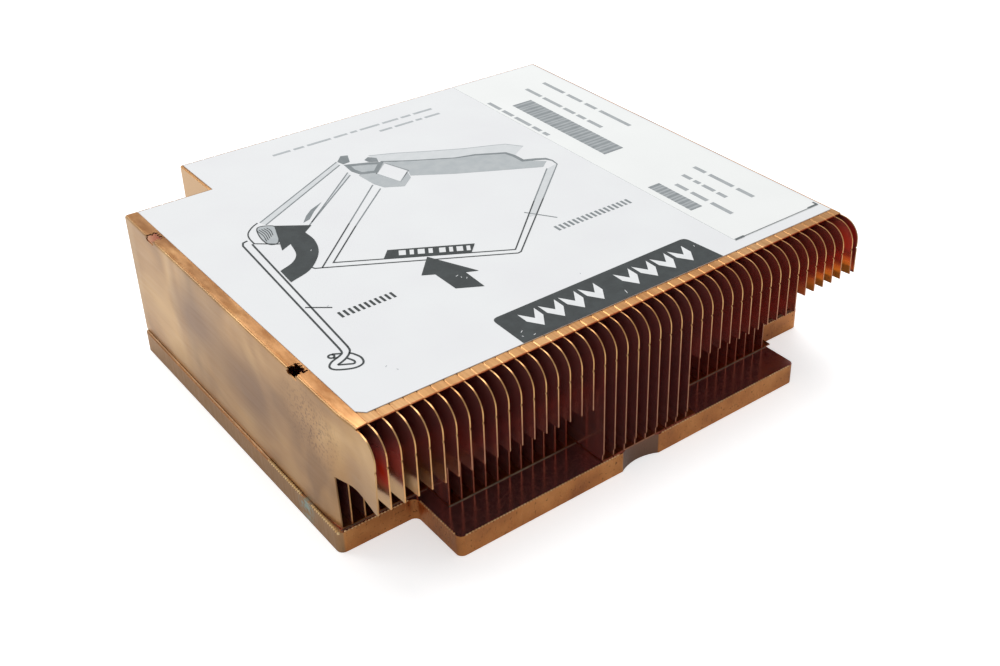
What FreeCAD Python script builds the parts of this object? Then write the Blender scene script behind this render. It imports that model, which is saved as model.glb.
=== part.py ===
"""Passive copper heatsink for a low server: 45 folded zipper fins on a copper base.

Every fin is one sheet, stamped to a side profile and folded into a channel: the web stands
up, and the top and bottom flanges reach to the next web.  The top flanges tile into one flat
roof, and the lugs on each flange lock into the slots of the next fin.

Stack frame, before everything is centred: X runs along the front from the left face of the
first fin, Y runs to the back from the front edge of the flanges, Z runs up from the base's
underside.
"""
import FreeCAD
import Part
import math
import os
import Sketcher

doc = FreeCAD.newDocument("ServerHeatsink")

# ---------------------------------------------------------------- driving sizes, millimetres
SIZES = {
    # the sheet and the stack
    "fin_pitch": 2.0,
    "sheet_gauge": 0.2,
    "fold_ease": 0.2,
    "fin_rise": 21.1,
    "closing_gap": 1.3,
    "stack_depth": 79.7,
    "end_group_depth": 68.6,
    # how many fins each group holds
    "deep_fins": 7,
    "shallow_fins": 11,
    "full_fins": 9,
    # front profile of the fins
    "nose_reach": 4.0,
    "nose_radius": 3.1,
    "nick_drop": 4.5,
    "nick_depth": 0.2,
    "wing_drop": 11.0,
    "short_wing_drop": 8.9,
    "wing_slope_deg": 5.0,
    "shallow_recess": 2.0,
    "deep_recess": 7.0,
    "heel_height": 1.2,
    "heel_setback": 0.25,
    # zipper lock
    "front_lock": 15.2,
    "rear_lock": 59.4,
    "slot_width": 2.4,
    "slot_reach": 1.6,
    "slot_drop": 0.5,
    "lug_clearance": 0.15,
    # the dent in the first fin and the lean of the last folded one
    "dent_length": 12.0,
    "dent_top_length": 3.4,
    "dent_top_depth": 0.44,
    "crease_depth": 1.9,
    "crease_shift": 3.3,
    "dent_edge_depth": 0.4,
    "flap_foot_flare": 0.35,
    "lean_depth": 0.8,
    # base plate
    "base_thickness": 3.4,
    "base_left_margin": 0.4,
    "base_front_margin": 0.1,
    "base_back_margin": 0.2,
    "corner_setback": 6.4,
    "left_step": 11.5,
    "notch_start": 39.6,
    "notch_width": 7.0,
    "notch_depth": 0.9,
    "right_step": 75.2,
    "corner_radius": 1.0,
    # paper on the roof
    "label_thickness": 0.12,
    "label_left_margin": 2.0,
    "label_front_margin": 1.7,
    "label_right_margin": 0.4,
    "label_back_margin": 0.4,
    "label_corner": 1.0,
    "sticker_thickness": 0.08,
    "sticker_left": 68.1,
    "sticker_front": 3.9,
    "sticker_inset": 0.5,
}

NEARLY_ZERO = 1e-6

sheet = doc.addObject("Spreadsheet::Sheet", "Sizes")
for row, (alias, number) in enumerate(SIZES.items(), start=1):
    sheet.set("A%d" % row, alias)
    sheet.set("B%d" % row, str(number))
    sheet.setAlias("B%d" % row, alias)
doc.recompute()


class Length:
    """A length held as its number and as the spreadsheet formula that drives it."""

    def __init__(self, number, formula=None):
        self.number = float(number)
        self.formula = formula or "(%s)" % repr(float(number))

    def join(self, sign, other, number):
        return Length(number, "(%s %s %s)" % (self.formula, sign, other.formula))

    def __add__(self, other):
        other = length(other)
        return self.join("+", other, self.number + other.number)

    def __sub__(self, other):
        other = length(other)
        return self.join("-", other, self.number - other.number)

    def __mul__(self, other):
        other = length(other)
        return self.join("*", other, self.number * other.number)

    def __truediv__(self, other):
        other = length(other)
        return self.join("/", other, self.number / other.number)

    def __neg__(self):
        return Length(0) - self


def length(value):
    return value if isinstance(value, Length) else Length(value)


def slope(angle):
    """The tangent of a spreadsheet angle in degrees."""
    return Length(math.tan(math.radians(angle.number)), "tan(%s * 1deg)" % angle.formula)


size = {alias: Length(number, "Sizes." + alias) for alias, number in SIZES.items()}

# ---------------------------------------------------------------- places worked out from them
deep = SIZES["deep_fins"]
shallow = SIZES["shallow_fins"]
full = SIZES["full_fins"]
fin_count = 2 * deep + 2 * shallow + full

last_fin_x = size["fin_pitch"] * (fin_count - 2) + size["closing_gap"]
stack_width = last_fin_x + size["sheet_gauge"]
fins_top = size["base_thickness"] + size["fin_rise"]
front_line = -(size["nose_reach"] + size["base_front_margin"])
back_line = size["stack_depth"] + size["base_back_margin"]
short_back_line = size["end_group_depth"] + size["base_back_margin"]
end_group_edge = size["fin_pitch"] * deep

# the origin is under the middle of the whole part
shift_x = (size["base_left_margin"] - stack_width) / 2
shift_y = -(front_line + back_line) / 2


# ---------------------------------------------------------------- helpers
def place(thing, x, y, z):
    """Bind an object's position to the sheet, given in the stack frame."""
    for axis, value in (("x", shift_x + x), ("y", shift_y + y), ("z", length(z))):
        thing.setExpression("Placement.Base." + axis, value.formula)


def new_body(label):
    body = doc.addObject("PartDesign::Body", label)
    body.Label = label
    return body


def new_sketch(body, name, role, height=None):
    """An empty sketch on one of the body's own origin planes, lifted by height."""
    plane = next(item for item in body.Origin.OriginFeatures if item.Role == role)
    sketch = body.newObject("Sketcher::SketchObject", name)
    sketch.AttachmentSupport = [(plane, "")]
    sketch.MapMode = "FlatFace"
    if height is not None:
        sketch.setExpression("AttachmentOffset.Base.z", height.formula)
    return sketch


def fix_point(sketch, edge, end, point):
    """Hold one end of a sketch edge at a pair of lengths from the sketch's origin."""
    for kind, value in zip(("DistanceX", "DistanceY"), point):
        value = length(value)
        index = sketch.addConstraint(Sketcher.Constraint(kind, -1, 1, edge, end, value.number))
        sketch.setExpression("Constraints[%d]" % index, value.formula)


def draw_outline(sketch, points, arc_starts=()):
    """Close a loop through the points.

    The edge that leaves a point numbered in arc_starts is an arc: it goes on in the
    direction of the edge before it and turns left.
    """
    spots = [FreeCAD.Vector(length(x).number, length(y).number, 0) for x, y in points]
    count = len(spots)
    for number, start in enumerate(spots):
        end = spots[(number + 1) % count]
        if number in arc_starts:
            before = (start - spots[number - 1]).normalize()
            sketch.addGeometry(left_arc(start, end, before), False)
        else:
            sketch.addGeometry(Part.LineSegment(start, end), False)
    for number, point in enumerate(points):
        follower = (number + 1) % count
        kind = "Tangent" if follower in arc_starts else "Coincident"
        fix_point(sketch, number, 1, point)
        sketch.addConstraint(Sketcher.Constraint(kind, number, 2, follower, 1))


def left_arc(start, end, direction):
    """The arc from start to end that leaves along direction and turns left."""
    chord = end - start
    normal = FreeCAD.Vector(-direction.y, direction.x, 0)
    radius = chord.dot(chord) / (2 * chord.dot(normal))
    centre = start + normal * radius
    angles = [math.atan2(spot.y - centre.y, spot.x - centre.x) for spot in (start, end)]
    circle = Part.Circle(centre, FreeCAD.Vector(0, 0, 1), radius)
    return Part.ArcOfCircle(circle, angles[0], angles[1])


def rectangle(sketch, x0, y0, x1, y1):
    """Add a closed rectangle to a sketch, every side held to the sheet."""
    first = sketch.GeometryCount
    points = [(x0, y0), (x1, y0), (x1, y1), (x0, y1)]
    spots = [FreeCAD.Vector(length(x).number, length(y).number, 0) for x, y in points]
    for number in range(4):
        sketch.addGeometry(Part.LineSegment(spots[number], spots[(number + 1) % 4]), False)
    for number, point in enumerate(points):
        fix_point(sketch, first + number, 1, point)
        follower = first + (number + 1) % 4
        sketch.addConstraint(Sketcher.Constraint("Coincident", first + number, 2, follower, 1))


def pad(body, name, sketch, depth, downward=False):
    feature = body.newObject("PartDesign::Pad", name)
    feature.Profile = sketch
    feature.setExpression("Length", depth.formula)
    feature.Reversed = downward
    return feature


def pocket(body, name, sketch, depth):
    feature = body.newObject("PartDesign::Pocket", name)
    feature.Profile = sketch
    feature.setExpression("Length", depth.formula)
    return feature


def dress_edges(body, name, kind, base, amount, wanted):
    """Fillet or chamfer the edges of the base feature that the test picks out."""
    doc.recompute(body.Group)
    names = ["Edge%d" % (index + 1) for index, edge in enumerate(base.Shape.Edges) if wanted(edge)]
    feature = body.newObject("PartDesign::" + kind, name)
    feature.Base = (base, names)
    feature.setExpression("Radius" if kind == "Fillet" else "Size", amount.formula)


# ---------------------------------------------------------------- fins
class FinForm:
    """What sets one fin apart: where it stands, how deep it is and how its front is cut."""

    def __init__(self, number):
        rank = min(number, fin_count + 1 - number)
        self.number = number
        self.is_first = number == 1
        self.is_last = number == fin_count
        self.is_leaning = number == fin_count - 1
        on_right = number > fin_count - deep
        if rank <= deep:
            self.recess = size["deep_recess"]
        elif rank <= deep + shallow:
            self.recess = size["shallow_recess"]
        else:
            self.recess = None
        self.wing_drop = size["short_wing_drop"] if on_right else size["wing_drop"]
        self.depth = size["end_group_depth"] if number <= deep else size["stack_depth"]
        self.x = last_fin_x if self.is_last else size["fin_pitch"] * (number - 1)
        self.reach = size["closing_gap"] if self.is_leaning else size["fin_pitch"]

    def foot_front(self):
        """Y of the front end of the foot, where the fin stands on the base."""
        return self.recess or size["heel_setback"] - size["nose_reach"]


def web_outline(form):
    """Side profile in Y and Z, from the flange's front edge down round the nose.

    The fold ends at a small relief step.  The lead runs level, the nose turns down by a
    quarter circle, and a small nick marks where two strokes of the punch met.  A recessed
    fin ends in a wing whose lower edge falls towards the recess; a full one ends in a heel,
    set back by a step.
    """
    top = size["fin_rise"]
    lead = top - size["fold_ease"]
    nose = -size["nose_reach"]
    nick = size["nick_depth"]
    nick_z = top - size["nick_drop"]
    points = [
        (form.depth, top),
        (0, top),
        (0, lead),
        (size["nose_radius"] - size["nose_reach"], lead),
        (nose, lead - size["nose_radius"]),
        (nose, nick_z + nick),
        (nose + nick, nick_z),
        (nose, nick_z - nick),
    ]
    if form.recess is None:
        heel = form.foot_front()
        points += [
            (nose, size["heel_height"] + size["heel_setback"]),
            (heel, size["heel_height"]),
            (heel, 0),
        ]
    else:
        wing_run = size["nose_reach"] + form.recess
        points += [
            (nose, top - form.wing_drop),
            (form.recess, top - form.wing_drop - wing_run * slope(size["wing_slope_deg"])),
            (form.recess, 0),
        ]
    points.append((form.depth, 0))
    return points, {3}


def sheet_path(form):
    """Stations of a bent web seen from above: (x, y) at the foot and (x, y) at the top."""
    back = ((0, form.depth), (0, form.depth))
    nose = -size["nose_reach"] - size["fold_ease"]
    if form.is_first:
        return [
            back,
            ((0, size["dent_length"]), (0, size["dent_length"])),
            ((size["dent_edge_depth"], size["deep_recess"]), (0, size["dent_top_length"])),
            ((size["crease_depth"], size["crease_shift"]), (size["dent_top_depth"], 0)),
            ((-size["flap_foot_flare"], nose), (size["dent_top_depth"], nose)),
        ]
    return [
        back,
        ((0, size["dent_length"]), (0, size["dent_length"])),
        ((size["lean_depth"], nose), (0, nose)),
    ]


def bent_web(body, form):
    """A web that isn't flat: a ruled loft between two plan sections, trimmed to its profile."""
    path = sheet_path(form)
    sections = []
    for name, level, height in (("PlanFoot", 0, None), ("PlanTop", 1, size["fin_rise"])):
        outer = [station[level] for station in path]
        inner = [(length(x) + size["sheet_gauge"], y) for x, y in reversed(outer)]
        section = new_sketch(body, name, "XY_Plane", height)
        draw_outline(section, outer + inner)
        sections.append(section)
    loft = body.newObject("PartDesign::AdditiveLoft", "Web")
    loft.Profile = sections[0]
    loft.Sections = [sections[1]]
    loft.Ruled = True
    profile = new_sketch(body, "TrimProfile", "YZ_Plane")
    points, arcs = web_outline(form)
    draw_outline(profile, points, arcs)
    surround = size["fin_rise"]
    rectangle(profile, -surround, -surround, form.depth + surround, size["fin_rise"] + surround)
    trim = pocket(body, "Trim", profile, size["fin_rise"])
    trim.Midplane = True
    return trim


def flat_web(body, form):
    profile = new_sketch(body, "WebProfile", "YZ_Plane")
    points, arcs = web_outline(form)
    draw_outline(profile, points, arcs)
    return pad(body, "Web", profile, size["sheet_gauge"])


def top_flange(body, form):
    """The roof tile, from above, with a lug towards the next fin at each lock."""
    edge = form.reach
    points = [(0, 0), (edge, 0)]
    if form.is_first:
        points = [(size["dent_top_depth"], 0), (edge, 0)]
    if not form.is_leaning:
        half_lug = size["slot_width"] / 2 - size["lug_clearance"]
        tip = edge + size["slot_reach"] - size["lug_clearance"] * 2
        for middle in (size["front_lock"], size["rear_lock"]):
            points += [
                (edge, middle - half_lug),
                (tip, middle - half_lug),
                (tip, middle + half_lug),
                (edge, middle + half_lug),
            ]
    points += [(edge, form.depth), (0, form.depth)]
    if form.is_first:
        points.append((0, size["dent_top_length"]))
    plan = new_sketch(body, "TopFlangePlan", "XY_Plane", size["fin_rise"])
    draw_outline(plan, points)
    return pad(body, "TopFlange", plan, size["sheet_gauge"], downward=True)


def bottom_flange(body, form):
    plan = new_sketch(body, "BottomFlangePlan", "XY_Plane")
    front = form.foot_front()
    rectangle(plan, 0, front, form.reach, form.depth)
    return pad(body, "BottomFlange", plan, size["sheet_gauge"])


def ease_folds(body, form, base):
    """Ease the outside of both folds; they are the long edges on the web's outer face.

    A fold this tight is nearly sharp, so a bevel as wide as the sheet is thick stands for it.
    """
    long_enough = form.depth.number / 2
    levels = (0, size["fin_rise"].number)

    def is_fold(edge):
        ends = [vertex.Point for vertex in edge.Vertexes]
        level = any(all(abs(end.z - z) < NEARLY_ZERO for end in ends) for z in levels)
        upright = all(abs(end.x) < NEARLY_ZERO for end in ends)
        return level and upright and edge.Length > long_enough

    dress_edges(body, "Folds", "Chamfer", base, size["fold_ease"], is_fold)


def cut_slots(body):
    """The openings at the top fold, which take the lugs of the fin before."""
    half = size["slot_width"] / 2
    plan = new_sketch(body, "SlotPlan", "XY_Plane", size["fin_rise"])
    for middle in (size["front_lock"], size["rear_lock"]):
        rectangle(plan, -size["sheet_gauge"], middle - half, size["slot_reach"], middle + half)
    pocket(body, "LockSlots", plan, size["slot_drop"])


def make_fin(number):
    form = FinForm(number)
    body = new_body("fin_%02d" % number)
    if form.is_first or form.is_leaning:
        bent_web(body, form)
    else:
        flat_web(body, form)
    if not form.is_last:
        top_flange(body, form)
        folded = bottom_flange(body, form)
        ease_folds(body, form, folded)
        cut_slots(body)
    place(body, form.x, 0, size["base_thickness"])
    return body


# ---------------------------------------------------------------- base plate
def make_base_plate():
    """The plate under the fins: two tabs at the front, a scallop between them, and three
    corners set back like the fins above them."""
    left = -size["base_left_margin"]
    right = stack_width
    step_left = size["left_step"]
    step_right = size["right_step"]
    scallop = size["notch_start"]
    scallop_end = scallop + size["notch_width"]
    body = new_body("base_plate")
    plan = new_sketch(body, "BasePlan", "XY_Plane")
    points = [
        (left, size["corner_setback"]),
        (step_left, size["corner_setback"]),
        (step_left, front_line),
        (step_right, front_line),
        (step_right, size["corner_setback"]),
        (right, size["corner_setback"]),
        (right, back_line),
        (end_group_edge, back_line),
        (end_group_edge, short_back_line),
        (left, short_back_line),
    ]
    draw_outline(plan, points)
    plate = pad(body, "Plate", plan, size["base_thickness"])

    def is_corner(edge):
        ends = [vertex.Point for vertex in edge.Vertexes]
        return len(ends) == 2 and abs(ends[0].z - ends[1].z) > SIZES["base_thickness"] / 2

    dress_edges(body, "Corners", "Fillet", plate, size["corner_radius"], is_corner)
    cutter = new_sketch(body, "ScallopPlan", "XY_Plane")
    middle = scallop + size["notch_width"] / 2
    sag = size["notch_depth"]
    half = size["notch_width"] / 2
    radius = (half * half / sag + sag) / 2
    centre = (middle, front_line + sag - radius)
    spot = FreeCAD.Vector(centre[0].number, centre[1].number, 0)
    cutter.addGeometry(Part.Circle(spot, FreeCAD.Vector(0, 0, 1), radius.number), False)
    fix_point(cutter, 0, 3, centre)
    index = cutter.addConstraint(Sketcher.Constraint("Radius", 0, radius.number))
    cutter.setExpression("Constraints[%d]" % index, radius.formula)
    scallop_cut = pocket(body, "Scallop", cutter, size["base_thickness"])
    scallop_cut.Reversed = True
    place(body, 0, 0, 0)
    return body


# ---------------------------------------------------------------- paper on the roof
def make_label():
    """The big label: it leaves a strip of flange at the front and the left, steps in at the
    back left corner with the fins, and has one clipped corner."""
    left = size["label_left_margin"]
    front = size["label_front_margin"]
    right = stack_width - size["label_right_margin"]
    back = size["stack_depth"] - size["label_back_margin"]
    short_back = size["end_group_depth"] - size["label_back_margin"]
    step = end_group_edge + size["label_back_margin"]
    body = new_body("instruction_label")
    plan = new_sketch(body, "LabelPlan", "XY_Plane")
    points = [
        (left, front + size["label_corner"]),
        (left + size["label_corner"], front),
        (right, front),
        (right, back),
        (step, back),
        (step, short_back),
        (left, short_back),
    ]
    draw_outline(plan, points)
    pad(body, "Label", plan, size["label_thickness"])
    place(body, 0, 0, fins_top)
    return body


def make_sticker():
    """The second, smaller sticker, which lies on the right part of the label."""
    right = stack_width - size["label_right_margin"] - size["sticker_inset"]
    back = size["stack_depth"] - size["label_back_margin"] - size["sticker_inset"]
    body = new_body("part_sticker")
    plan = new_sketch(body, "StickerPlan", "XY_Plane")
    rectangle(plan, size["sticker_left"], size["sticker_front"], right, back)
    pad(body, "Sticker", plan, size["sticker_thickness"])
    place(body, 0, 0, fins_top + size["label_thickness"])
    return body


# ---------------------------------------------------------------- build, check, write
subparts = [make_base_plate()]
subparts += [make_fin(number) for number in range(1, fin_count + 1)]
subparts += [make_label(), make_sticker()]
doc.recompute()

for item in doc.Objects:
    if "Invalid" in item.State or "Error" in item.State:
        raise RuntimeError("%s failed to build: %s" % (item.Label, item.State))
for item in subparts:
    if item.Shape.isNull() or not item.Shape.isValid() or len(item.Shape.Solids) != 1:
        raise RuntimeError("%s isn't one valid solid" % item.Label)

os.makedirs("parts", exist_ok=True)
for item in subparts:
    item.Shape.exportStep("parts/%s.step" % item.Label)
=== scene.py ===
"""The finish of a passive copper server heatsink: its metals, its printed label and the studio.

The row frame is in metres: X along the front, Y to the back, Z up, the origin under the
middle.  Sizes below are in millimetres and are turned to metres where a mesh is made.
"""
import math

import bpy
import numpy as np
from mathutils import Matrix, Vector


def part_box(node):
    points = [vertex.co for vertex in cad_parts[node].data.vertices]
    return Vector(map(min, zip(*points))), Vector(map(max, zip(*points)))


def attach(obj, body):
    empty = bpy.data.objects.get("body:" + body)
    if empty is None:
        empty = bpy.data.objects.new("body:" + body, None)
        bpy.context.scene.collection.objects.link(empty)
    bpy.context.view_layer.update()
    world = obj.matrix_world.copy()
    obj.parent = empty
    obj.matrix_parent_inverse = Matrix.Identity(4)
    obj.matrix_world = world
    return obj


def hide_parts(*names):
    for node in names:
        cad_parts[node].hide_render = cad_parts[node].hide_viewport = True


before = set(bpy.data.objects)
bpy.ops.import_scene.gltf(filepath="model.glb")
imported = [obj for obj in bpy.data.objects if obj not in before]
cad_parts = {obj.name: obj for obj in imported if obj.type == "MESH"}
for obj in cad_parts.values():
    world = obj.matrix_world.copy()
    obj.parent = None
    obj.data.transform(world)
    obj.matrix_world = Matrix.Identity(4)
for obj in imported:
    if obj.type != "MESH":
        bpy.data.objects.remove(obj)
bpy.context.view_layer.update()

MM = 0.001


def node_box(name):
    """A CAD node's lowest and highest corner in millimetres."""
    return [np.array(corner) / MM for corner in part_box(name)]


base_low, base_high = node_box("base_plate")
plate_low, plate_high = node_box("fin_01")
label_low, label_high = node_box("instruction_label")
sticker_low, sticker_high = node_box("part_sticker")


# ---------------------------------------------------------------- colours and nodes
def linear(code):
    """A colour written as sRGB hex, turned to the linear numbers that a shader takes."""
    parts = [int(code[i:i + 2], 16) / 255 for i in (1, 3, 5)]
    return [p / 12.92 if p <= 0.04045 else ((p + 0.055) / 1.055) ** 2.4 for p in parts] + [1.0]


def add(tree, kind, inputs, stops=(), **settings):
    """Add a shader node with its settings and links.

    Each input, by name or number, is a plain value, a socket, or a node whose first output
    is meant.  A Mix node has its mask at 0, its values at 2 and 3, its colours at 6 and 7 and
    its mixed colour at output 2.  stops are a colour ramp's pairs of position and hex colour.
    """
    node = tree.nodes.new("ShaderNode" + kind)
    for name, value in settings.items():
        setattr(node, name, value)
    for key, value in inputs.items():
        if isinstance(value, bpy.types.Node):
            value = value.outputs[0]
        if isinstance(value, bpy.types.NodeSocket):
            tree.links.new(value, node.inputs[key])
        else:
            node.inputs[key].default_value = value
    for index, (position, code) in enumerate(stops):
        ramp = node.color_ramp.elements
        stop = ramp[index] if index < len(ramp) else ramp.new(position)
        stop.position = position
        stop.color = linear(code)
    return node


def new_material(name):
    """An empty node material, and its place in the row frame."""
    material = bpy.data.materials.new(name)
    material.use_nodes = True
    tree = material.node_tree
    tree.nodes.clear()
    return material, tree, add(tree, "TexCoord", {}).outputs["Object"]


def layered(tree, colour, layers):
    """A colour with others laid over it in turn, each a pair of its mask and its hex colour."""
    for mask, code in layers:
        colour = add(tree, "Mix", {0: mask, 6: colour, 7: linear(code)},
                     data_type="RGBA").outputs[2]
    return colour


def finished(tree, colour, metal, rough, relief, depth, strength):
    """Close a material: its shader, with a relief so many millimetres deep drawn as bump."""
    bump = add(tree, "Bump", {"Height": relief, "Distance": depth * MM, "Strength": strength})
    shader = add(tree, "BsdfPrincipled", {"Base Color": colour, "Metallic": metal,
                                          "Roughness": rough, "Normal": bump})
    add(tree, "OutputMaterial", {"Surface": shader})


# A surface counts as square to an axis from the first share of its normal to the second.
NEARLY_SQUARE, SQUARE = 0.8, 0.95


def facing(tree, axis):
    """1 where the surface looks along or against an axis, and 0 where it doesn't."""
    normal = add(tree, "NewGeometry", {}).outputs["True Normal"]
    part = add(tree, "SeparateXYZ", {0: normal}).outputs[axis]
    part = add(tree, "Math", {0: part}, operation="ABSOLUTE")
    return add(tree, "MapRange", {"Value": part, "From Min": NEARLY_SQUARE,
                                  "From Max": SQUARE})


def facing_inwards(tree, place):
    """1 where the surface looks across to the middle of the row, and 0 where it doesn't."""
    normal = add(tree, "NewGeometry", {}).outputs["True Normal"]
    part = add(tree, "SeparateXYZ", {0: normal}).outputs["X"]
    along = add(tree, "SeparateXYZ", {0: place}).outputs["X"]
    side = add(tree, "MapRange", {"Value": along, "From Min": -MM, "From Max": MM,
                                  "To Min": 1.0, "To Max": -1.0})
    part = add(tree, "Math", {0: part, 1: side}, operation="MULTIPLY")
    return add(tree, "MapRange", {"Value": part, "From Min": NEARLY_SQUARE,
                                  "From Max": SQUARE})


def spot(tree, place, centre, radii, soft):
    """1 inside an ellipsoid about a centre in millimetres, falling to 0 at its skin."""
    moved = add(tree, "Mapping", {"Vector": place,
                                  "Location": [-c / r for c, r in zip(centre, radii)],
                                  "Scale": [1 / (r * MM) for r in radii]})
    reach = add(tree, "VectorMath", {0: moved}, operation="LENGTH").outputs["Value"]
    return add(tree, "MapRange", {"Value": reach, "From Min": 1.0, "From Max": 1.0 - soft})


# ---------------------------------------------------------------- finishes
MILL_DARK = "#DE938D"
MILL_PALE = "#EAA299"

# How fine the patterns are: one over the width of a mark.  The streaks, cutter marks, pits,
# specks and grit are finer on the real thing, and are drawn this coarse so that they show.
OXIDE_CLOUD = 1 / (9 * MM)
ROLL_STREAK = 1 / (0.4 * MM)
STRIP_WAVE = 1 / (3 * MM)
HAND_CLOUD = 1 / (14 * MM)
WIPED_BAND = 1 / (6 * MM)
HAND_SPECK = 1 / (0.45 * MM)
HAND_STREAK = 1 / (0.5 * MM)
ROOF_BLOTCH = 1 / (1.2 * MM)
PLATE_WAVE = 1 / (11 * MM)
BASE_CLOUD = 1 / (5 * MM)
BASE_PIT = 1 / (0.5 * MM)
CUTTER_MARK = 1 / (0.35 * MM)
PATINA_CRUMB = 1 / (0.9 * MM)
PAPER_MOTTLE = 1 / (12 * MM)
PAPER_GRAIN = 1 / (1.2 * MM)
PRESS_MOTTLE = 1 / (1.5 * MM)
PRESS_GRIT = 1 / (0.35 * MM)
SOLDER_TINT = 1 / (0.8 * MM)
SOLDER_LUMP = 1 / (0.4 * MM)


def painted_wing_reflection(tree, z, left, right):
    """Two masks of a painted reflection of the floor: a tan band on the lower part of the end
    fins' wings.

    The first is for the ends on both sides, the second for the right one alone.
    """
    height = add(tree, "MapRange", {"Value": z, "From Min": 10 * MM, "From Max": 20 * MM})
    lift = add(tree, "Math", {0: right, 1: 0.12}, operation="MULTIPLY")
    height = add(tree, "Math", {0: height, 1: lift}, operation="SUBTRACT")
    low = add(tree, "ValToRGB", {"Fac": height},
              [(0.1, "#000000"), (0.2, "#FFFFFF"), (0.56, "#FFFFFF"), (0.74, "#000000")])
    ends = add(tree, "Math", {0: left, 1: right}, operation="ADD")
    return [add(tree, "Math", {0: low, 1: side}, operation="MULTIPLY") for side in (ends, right)]


def rolled_copper():
    """Cold-rolled copper strip: stamped, folded and soldered in an oven.

    Its broad faces keep the red shine of the mill under a thin haze of oxide, and turn maroon
    between two fins.  To the right they are painted redder, a painted reflection of the red
    light between the fins there, under a slightly thicker haze.  A bright red painted glow
    stands at the front of the outermost gaps, and a dull stain behind the end plate's back
    slot.  A tan band is painted on the lower edges of the wings at both ends, more golden on
    the right: a painted reflection of the floor.  Hands wore the back ends brown.  The roof
    and the cut edges are rubbed to a golden tan, browner on the left, with the fine streaks
    that the rolls left; the cut edges are painted lighter high on the nose's bend, a painted
    highlight, and at the left end.
    """
    material, tree, place = new_material("rolled_copper_strip")
    axes = add(tree, "SeparateXYZ", {0: place})
    x, y, z = (axes.outputs[name] for name in "XYZ")
    left = add(tree, "MapRange", {"Value": x, "From Min": -30 * MM, "From Max": -37 * MM})
    right = add(tree, "MapRange", {"Value": x, "From Min": 29 * MM, "From Max": 34 * MM})
    # To the right the broad faces are painted redder, a painted reflection of the red light
    # between the fins there, and are a little less metallic.
    right_red_and_haze = add(tree, "MapRange", {"Value": x, "From Min": 8 * MM, "From Max": 24 * MM})
    clouds = add(tree, "TexNoise", {"Vector": place, "Scale": OXIDE_CLOUD, "Detail": 3})

    # A tan band painted on the lower wings at the ends, more golden on the right: a painted
    # reflection of the floor.
    reflection_wear_and_stain, right_wing_reflection = painted_wing_reflection(tree, z, left, right)
    back = add(tree, "MapRange", {"Value": y, "From Min": 28 * MM, "From Max": 31 * MM})
    stain = spot(tree, place, (-41.6, 26.0, 22.0), (1.6, 6.0, 4.0), 0.4)
    for mask in (back, stain):
        reflection_wear_and_stain = add(tree, "Math", {0: reflection_wear_and_stain, 1: mask}, operation="MAXIMUM")
    brown = layered(tree, linear("#CBA06C"), [(right, "#F0A850"), (stain, "#D08338")])
    # A bright red painted glow at the front of the two outermost gaps, standing in for the red
    # light that bounces between the end fins; it is a little less metallic there.
    painted_red_glow = add(tree, "Math", {0: spot(tree, place, (-41.5, -40.5, 18.8), (3.2, 4.5, 5), 0.9),
                                 1: spot(tree, place, (43, -39.5, 21.4), (2.6, 4, 3.2), 0.9)},
                  operation="MAXIMUM")
    mill = add(tree, "ValToRGB", {"Fac": clouds}, [(0.3, MILL_DARK), (0.7, MILL_PALE)])
    mill = layered(tree, mill, [(right_red_and_haze, "#E07E6E"), (painted_red_glow, "#F04C2E")])
    face = add(tree, "Mix", {0: reflection_wear_and_stain, 6: mill, 7: brown}, data_type="RGBA").outputs[2]

    worn = add(tree, "MapRange", {"Value": x, "From Min": -28 * MM, "From Max": 5 * MM,
                                  "To Min": 0.3, "To Max": 0.0})
    roof = add(tree, "ValToRGB", {"Fac": clouds},
               [(0.3, "#D59A62"), (0.55, "#E2AA72"), (0.75, "#ECBB86")])
    roof = add(tree, "Mix", {0: worn, 6: roof, 7: linear("#9A7A54")},
               data_type="RGBA").outputs[2]
    # The cut edges are painted lighter high on the nose's bend, a painted highlight, and at the
    # left end.
    bend = add(tree, "MapRange", {"Value": z, "From Min": 16 * MM, "From Max": 21 * MM})
    bend = add(tree, "Math", {0: bend, 1: left}, operation="MAXIMUM")
    edge = add(tree, "Mix", {0: bend, 6: linear("#B67F63"), 7: linear("#E4AE74")},
               data_type="RGBA").outputs[2]
    rubbed = add(tree, "Mix", {0: facing(tree, "Y"), 6: roof, 7: edge},
                 data_type="RGBA").outputs[2]
    drawn = add(tree, "Mapping", {"Vector": place, "Scale": (1, 0.05, 1)})
    streaks = add(tree, "TexNoise", {"Vector": drawn, "Scale": ROLL_STREAK, "Detail": 2})
    shade = add(tree, "ValToRGB", {"Fac": streaks}, [(0.35, "#EBE5DF"), (0.6, "#FFFFFF")])
    rubbed = add(tree, "Mix", {0: 1.0, 6: rubbed, 7: shade}, data_type="RGBA",
                 blend_type="MULTIPLY").outputs[2]

    broad = facing(tree, "X")
    colour = add(tree, "Mix", {0: broad, 6: rubbed, 7: face}, data_type="RGBA").outputs[2]
    haze = add(tree, "MapRange", {"Value": right_red_and_haze, "To Min": 0.89, "To Max": 0.85})
    for mask, share in ((painted_red_glow, 0.2), (right_wing_reflection, 0.6)):
        haze = add(tree, "Mix", {0: mask, 2: haze, 3: share})
    metal = add(tree, "MapRange", {"Value": broad, "To Min": 1.0, "To Max": haze})
    rough = add(tree, "MapRange", {"Value": broad, "To Min": 0.3, "To Max": 0.16})
    rough = add(tree, "Mix", {0: stain, 2: rough, 3: 0.3})
    wave = add(tree, "TexNoise", {"Vector": place, "Scale": STRIP_WAVE, "Detail": 2})
    finished(tree, colour, metal, rough, wave, depth=0.01, strength=0.3)
    return material


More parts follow.
